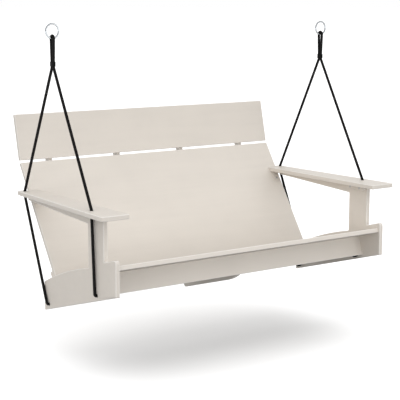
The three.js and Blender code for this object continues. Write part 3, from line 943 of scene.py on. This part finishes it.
class SWING_OT_bindings(bpy.types.Operator):
    """Makes the whipping twine bound about both strands of each rope above its fork"""

    bl_idname = "swing.bindings"
    bl_label = "Bindings"

    def execute(self, context):
        twine = braided_polyester("Waxed whipping twine, wound", "#040404")
        low, high = BINDING_Z
        for side, sign in SIDES:
            name = f"{side}_seizing"
            rows = round((high - low) / TWINE_ROW)
            heights = [low + (high - low) * i / rows for i in range(rows + 1)]
            sides = range(TWINE_SIDES)
            outer = [[self.point(sign, z, k, True) for k in sides] for z in heights]
            bore = [[self.point(sign, z, k, False) for k in sides] for z in reversed(heights)]
            vertices, faces = loft([*outer, *bore, outer[0]], close_ends=False)
            mesh = smooth_mesh(name, vertices, faces)
            bm = bmesh.new()
            bm.from_mesh(mesh)
            bmesh.ops.remove_doubles(bm, verts=bm.verts, dist=1e-6)
            bmesh.ops.recalc_face_normals(bm, faces=bm.faces)
            bm.to_mesh(mesh)
            bm.free()
            finish_mesh(f"{name}_wound", mesh, [twine], "swing", name)
        return {"FINISHED"}

    def point(self, sign, z, k, outside):
        """A point of the round-ended sleeve: outside it follows the turns of twine."""
        turn = 2 * math.pi * k / TWINE_SIDES
        reach = BINDING_BORE
        if outside:
            phase = z / TWINE_PITCH + turn / (2 * math.pi)
            groove = TWINE_GROOVE * (1 - abs(math.sin(math.pi * phase)))
            reach += BINDING_WALL * (1 - groove)
        x, y = reach * math.cos(turn), reach * math.sin(turn)
        strand = math.copysign(FORK_HALF, math.sin(turn + 1e-9))
        return hung(sign * RING_X + x, BENCH_Y + y + strand, z)


class SWING_OT_knots(bpy.types.Operator):
    """Makes the barrel knots that stop the ropes at the inner faces of the side panels"""

    bl_idname = "swing.knots"
    bl_label = "Stopper knots"

    def execute(self, context):
        settings = context.scene.swing_rope
        black = braided_polyester("Polyester rope, drawn tight", "#050404")
        for side, sign in SIDES:
            for end, s in FOOT_HOLE_S.items():
                line = self.line(sign, *on_slope(s, FOOT_HOLE_N))
                name = f"{side}_{end}_knot"
                mesh = braided_tube(name, line, KNOT_STRAND * MM, settings.strands, settings.plait)
                finish_mesh(f"{name}_tied", mesh, [black], "swing", name)
        return {"FINISHED"}

    def line(self, sign, y, z):
        """The rope's own line through the knot: straight in, round in a loop, and back in turns
        about itself."""
        near = PANEL_INNER_X - KNOT_GAP
        points = [hung(sign * x, y, z) for x in np.linspace(near, near - KNOT_CORE, LOOP_STEPS)]
        for k in range(1, LOOP_STEPS):  # the loop at the far end
            t = math.pi * k / LOOP_STEPS
            lift = KNOT_WRAP / 2 * (1 - math.cos(t))
            x = near - KNOT_CORE - KNOT_WRAP / 2 * math.sin(t)
            points.append(hung(sign * x, y, z + lift))
        steps = TURN_STEPS * KNOT_TURNS
        for k in range(steps + 1):
            t = 2 * math.pi * k / TURN_STEPS
            x = near - KNOT_CORE + (KNOT_CORE - KNOT_STRAND) * k / steps
            turned = (y + KNOT_WRAP * math.sin(t), z + KNOT_WRAP * math.cos(t))
            points.append(hung(sign * x, *turned))
        return np.array(points)


# ---- stage --------------------------------------------------------------------------------------


def soft_light(name, at, size, brightness):
    """A square softbox that faces the middle of the swing. brightness is what it adds to a white
    surface that faces it there, where 1 is white."""
    light = bpy.data.lights.new(name, "AREA")
    light.shape = "SQUARE"
    light.size = size
    to_swing = SWING_MIDDLE - Vector(at)
    light.energy = brightness * math.pi * math.pi * to_swing.length_squared
    lamp = bpy.data.objects.new(name, light)
    lamp.location = at
    lamp.rotation_euler = to_swing.to_track_quat("-Z", "Y").to_euler()
    bpy.context.scene.collection.objects.link(lamp)


def floor_light(floor, brightness):
    """A very broad light from overhead that only the floor takes, so that the floor stays white
    without lighting the swing from below."""
    light = bpy.data.lights.new("Floor light", "SUN")
    light.angle = math.radians(FLOOR_LIGHT_SPREAD)
    light.energy = brightness * math.pi
    lamp = bpy.data.objects.new("Floor light", light)
    bpy.context.scene.collection.objects.link(lamp)
    only_floor = bpy.data.collections.new("Lit by the floor light")
    only_floor.objects.link(floor)
    lamp.light_linking.receiver_collection = only_floor


def studio_world(sky, ground):
    """Even white light from above and less of it from below. The camera sees plain white."""
    world = bpy.data.worlds.new("White studio")
    world.use_nodes = True
    tree = world.node_tree
    tree.nodes.clear()
    way = node(tree, "ShaderNodeTexCoord").outputs["Generated"]
    height = node(tree, "ShaderNodeSeparateXYZ", {"Vector": way}).outputs["Z"]
    fade = node(
        tree,
        "ShaderNodeMapRange",
        {
            "Value": height,
            "From Min": -HORIZON_BLUR,
            "From Max": HORIZON_BLUR,
            "To Min": ground,
            "To Max": sky,
        },
    )
    white = (1.0, 1.0, 1.0, 1.0)
    light = node(
        tree, "ShaderNodeBackground", {"Color": white, "Strength": fade.outputs["Result"]}
    )
    seen = node(tree, "ShaderNodeBackground", {"Color": white, "Strength": 1.0})
    camera_ray = node(tree, "ShaderNodeLightPath").outputs["Is Camera Ray"]
    mixed = node(
        tree,
        "ShaderNodeMixShader",
        {0: camera_ray, 1: light.outputs["Background"], 2: seen.outputs["Background"]},
    )
    node(tree, "ShaderNodeOutputWorld", {"Surface": mixed.outputs["Shader"]})
    return world


class SWING_OT_stage(bpy.types.Operator):
    """Makes the pale floor, the soft studio light and the camera"""

    bl_idname = "swing.stage"
    bl_label = "Stage"

    def execute(self, context):
        settings = context.scene.swing_stage
        scene = context.scene
        low = CAD_BOX[0].z - settings.floor_drop
        mesh = bpy.data.meshes.new("studio_floor")
        square = ((-1, -1), (1, -1), (1, 1), (-1, 1))
        corners = [(x * FLOOR_REACH, y * FLOOR_REACH, low) for x, y in square]
        mesh.from_pydata(corners, [], [(0, 1, 2, 3)])
        floor = bpy.data.objects.new("studio_floor", mesh)
        mesh.materials.append(studio_paint("Studio floor paint, rolled", "#FCFCFC"))
        scene.collection.objects.link(floor)
        floor.visible_diffuse = False  # its light on the swing comes from studio_world instead

        scene.world = studio_world(settings.sky, settings.ground)
        floor_light(floor, settings.floor_light)
        soft_light("Softbox in front", (0.9, -4.4, -0.9), 2.4, settings.front)
        soft_light("Softbox at the left", (-3.8, -1.6, -1.1), 1.8, settings.left)

        scene.view_settings.view_transform = "Standard"
        camera_data = bpy.data.cameras.new("camera")
        camera_data.lens = CAMERA_LENS
        camera = bpy.data.objects.new("camera", camera_data)
        camera.location = CAMERA_AT
        yaw = Matrix.Rotation(-math.radians(CAMERA_YAW), 4, "Z")
        pitch = Matrix.Rotation(math.radians(90 + CAMERA_PITCH), 4, "X")
        roll = Matrix.Rotation(math.radians(CAMERA_ROLL), 4, "Z")
        camera.rotation_euler = (yaw @ pitch @ roll).to_euler()
        scene.collection.objects.link(camera)
        scene.camera = camera
        return {"FINISHED"}


# ---- panel and registration ---------------------------------------------------------------------

OPERATORS = (
    SWING_OT_side_panels,
    SWING_OT_armrests,
    SWING_OT_back,
    SWING_OT_seat,
    SWING_OT_cleats,
    SWING_OT_arm_brackets,
    SWING_OT_screws,
    SWING_OT_rings,
    SWING_OT_ropes,
    SWING_OT_bindings,
    SWING_OT_knots,
    SWING_OT_stage,
)


class SWING_PT_sidebar(bpy.types.Panel):
    """Lists the settings and the operators of the porch swing"""

    bl_idname = "SWING_PT_sidebar"
    bl_label = "Porch Swing"
    bl_space_type = "VIEW_3D"
    bl_region_type = "UI"
    bl_category = "Porch Swing"

    def draw(self, context):
        scene = context.scene
        for group in (scene.swing_sheet, scene.swing_rope, scene.swing_stage):
            box = self.layout.box()
            for name in group.__annotations__:
                box.prop(group, name)
        for operator in OPERATORS:
            self.layout.operator(operator.bl_idname)


CLASSES = (SwingSheetSettings, SwingRopeSettings, SwingStageSettings, *OPERATORS, SWING_PT_sidebar)


def register():
    for cls in CLASSES:
        bpy.utils.register_class(cls)
    bpy.types.Scene.swing_sheet = PointerProperty(type=SwingSheetSettings)
    bpy.types.Scene.swing_rope = PointerProperty(type=SwingRopeSettings)
    bpy.types.Scene.swing_stage = PointerProperty(type=SwingStageSettings)


def unregister():
    del bpy.types.Scene.swing_stage
    del bpy.types.Scene.swing_rope
    del bpy.types.Scene.swing_sheet
    for cls in reversed(CLASSES):
        bpy.utils.unregister_class(cls)


def main():
    register()
    for operator in OPERATORS:
        group, name = operator.bl_idname.split(".")
        getattr(getattr(bpy.ops, group), name)()


if __name__ == "__main__":
    main()
